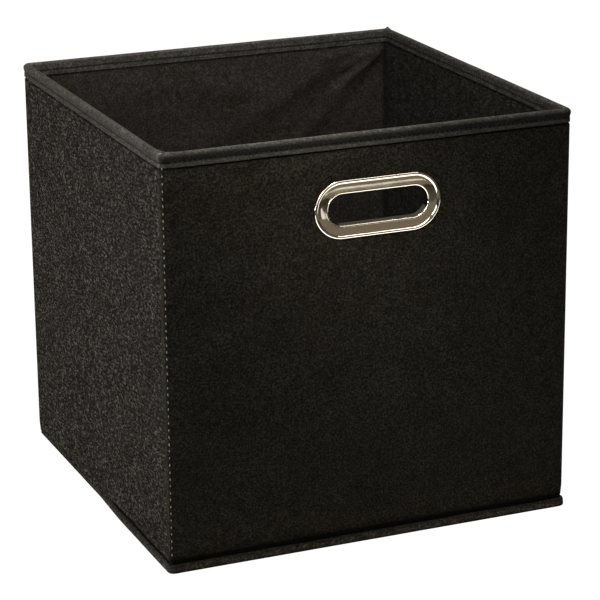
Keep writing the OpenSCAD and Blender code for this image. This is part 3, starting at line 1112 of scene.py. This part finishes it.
def rectangle(name, width, height):
    """A flat mesh in the XY plane, centred on its origin."""
    x, y = width / 2, height / 2
    mesh = bpy.data.meshes.new(name)
    mesh.from_pydata([(-x, -y, 0), (x, -y, 0), (x, y, 0), (-x, y, 0)], [], [(0, 1, 2, 3)])
    return mesh


def point_at(piece, centre, towards, axis):
    """Places a piece at centre with one of its axes towards a point."""
    piece.location = centre
    piece.rotation_mode = "QUATERNION"
    piece.rotation_quaternion = (Vector(towards) - Vector(centre)).to_track_quat(axis, "Y")


def stage_card(name, centre, towards, width, height, strength, rgb):
    """A glowing panel that only shows in reflections."""
    s = Shader(name)
    s.tree.nodes.remove(s.principled)
    glow = s.node("ShaderNodeEmission", {"Color": colour(rgb), "Strength": strength})
    set_input(s.tree, s.tree.nodes["Material Output"], "Surface", glow.outputs[0])
    mesh = rectangle(name, width, height)
    mesh.materials.append(s.material)
    card = add_object(name, mesh)
    point_at(card, centre, towards, "Z")
    card.visible_camera = False
    card.visible_diffuse = False
    card.visible_shadow = False


def softbox(name, centre, towards, width, height, power, rgb):
    """A rectangular lamp at centre, facing a point."""
    light = bpy.data.lights.new(name, "AREA")
    light.shape = "RECTANGLE"
    light.size = width
    light.size_y = height
    light.energy = power
    light.color = rgb
    lamp = add_object(name, light)
    point_at(lamp, centre, towards, "-Z")
    return lamp


def front_glow():
    """A soft round pool of light on the upper front, round the ring."""
    light = bpy.data.lights.new("front_glow", "SPOT")
    light.energy = 32
    light.color = (1.0, 0.95, 0.88)
    light.spot_size = math.radians(17)
    light.spot_blend = 1.0
    light.shadow_soft_size = 0.06
    lamp = add_object(light.name, light)
    point_at(lamp, (-0.3, -0.55, 0.8), (-0.03, -WALL_FACE, 0.26), "-Z")
    lamp.visible_glossy = False


# How bright the camera sees the floor and the sky: just over white
BACKDROP = 1.05


def seen_apart(tree, lit, seen, out):
    """Shows the camera one shader and everything else another."""
    to_camera = add_node(tree, "ShaderNodeLightPath").outputs["Is Camera Ray"]
    inputs = {0: to_camera, 1: lit.outputs[0], 2: seen.outputs[0]}
    mix = add_node(tree, "ShaderNodeMixShader", inputs)
    tree.links.new(mix.outputs[0], out.inputs[0])


def floor():
    """A plain pale floor that the camera sees as white."""
    mesh = rectangle("floor", 60.0, 60.0)
    s = Shader("floor")
    s.surface(Base_Color=(0.12, 0.115, 0.1, 1), Roughness=0.9, Specular_IOR_Level=0.1)
    glow = s.node("ShaderNodeEmission", {"Strength": BACKDROP})
    seen_apart(s.tree, s.principled, glow, s.tree.nodes["Material Output"])
    mesh.materials.append(s.material)
    add_object("floor", mesh)


def sky():
    """White to the camera; to everything else a dim warm room, lighter above."""
    world = bpy.data.worlds.new("studio")
    bpy.context.scene.world = world
    world.use_nodes = True
    tree = world.node_tree
    coords = add_node(tree, "ShaderNodeTexCoord").outputs["Generated"]
    height = add_node(tree, "ShaderNodeSeparateXYZ", {"Vector": coords}).outputs["Z"]
    inputs = {"Value": height, "From Min": -0.2, "From Max": 1.0, "To Min": 0.025, "To Max": 0.135}
    ramp = add_node(tree, "ShaderNodeMapRange", inputs)
    room = tree.nodes["Background"]
    set_input(tree, room, "Color", (1.0, 0.95, 0.87, 1))
    set_input(tree, room, "Strength", ramp.outputs[0])
    white = add_node(tree, "ShaderNodeBackground", {"Strength": BACKDROP})
    seen_apart(tree, room, white, tree.nodes["World Output"])


def camera():
    """A long lens from the front left, above the rim, held a touch off level."""
    azimuth, elevation, roll = math.radians(-22.63), math.radians(17.76), math.radians(-0.58)
    distance, target = 1.928, Vector((0.0094, 0, 0.1332))
    data = bpy.data.cameras.new("camera")
    data.lens = 153.6
    data.sensor_width = 36
    view = add_object("camera", data)
    flat = math.cos(elevation)
    back = Vector((math.sin(azimuth) * flat, -math.cos(azimuth) * flat, math.sin(elevation)))
    right = Vector((0, 0, 1)).cross(back).normalized()
    up = back.cross(right)
    across = right * math.cos(roll) + up * math.sin(roll)
    upright = up * math.cos(roll) - right * math.sin(roll)
    matrix = Matrix((across, upright, back)).transposed().to_4x4()
    matrix.translation = target + back * distance
    view.matrix_world = matrix
    bpy.context.scene.camera = view


def studio():
    """Floor, sky, lamps and the panels that the plating reflects."""
    scene = bpy.context.scene
    scene.view_settings.view_transform = "Standard"
    floor()
    sky()
    middle = (0, 0, 0.18)
    warm, white = (1.0, 0.84, 0.62), (1.0, 0.98, 0.93)
    softbox("key", (-2.2, 0.1, 0.15), middle, 1.3, 0.26, 47, (1.0, 0.96, 0.9))
    softbox("rear_left", (-0.84, 0.31, 0.15), middle, 0.54, 0.26, 3.4, (1.0, 0.96, 0.93))
    softbox("upper_left", (-0.5, -0.46, 0.66), middle, 0.3, 0.3, 2.6, (1.0, 0.96, 0.9))
    softbox("top", (-0.1, -0.14, 0.9), middle, 0.3, 0.3, 5.6, (1.0, 0.97, 0.93))
    softbox("front_fill", (-0.75, -0.72, 0.55), middle, 0.5, 0.5, 2.2, (1.0, 0.93, 0.78))
    # Two soft lights for the far sides, which the camera's own view hardly meets
    for name, centre in (("right_side", (2.0, -0.2, 0.5)), ("back_side", (0.3, 2.2, 0.6))):
        softbox(name, centre, middle, 1.2, 0.7, 24, white).visible_glossy = False
    front_glow()
    # Floor light on the underside of the front tape
    near = -SEAM_FACE - 8 * MM
    bounce = softbox("bounce", (0, near, 0.001), (0, near, 1), 0.32, 0.01, 0.028, warm)
    bounce.visible_camera = False
    bounce.visible_glossy = False
    ring = (0.0, -0.155, 0.25)
    stage_card("floor_strip", (0.1, -0.28, 0.004), (0.1, -0.28, 1), 1.4, 0.19, 3.2, white)
    stage_card("floor_near", (0.2, -0.55, 0.004), (0.2, -0.55, 1), 1.6, 0.36, 0.2, warm)
    stage_card("floor_stripe", (0.05, -1.0, 0.004), (0.05, -1.0, 1), 0.05, 0.5, 1.0, white)
    stage_card("front_low", (1.0, -2.6, 0.4), ring, 3.4, 0.8, 0.2, warm)
    stage_card("front_streak", (0.8, -2.5, 0.24), ring, 1.6, 0.05, 1.3, white)
    stage_card("front_high", (0.0, -1.3, 1.75), ring, 2.6, 0.35, 5.0, white)


camera()
attach_walls()
sew_rims()
sew_corner()
handle_ring()
attach_base()
show_cards()
studio()
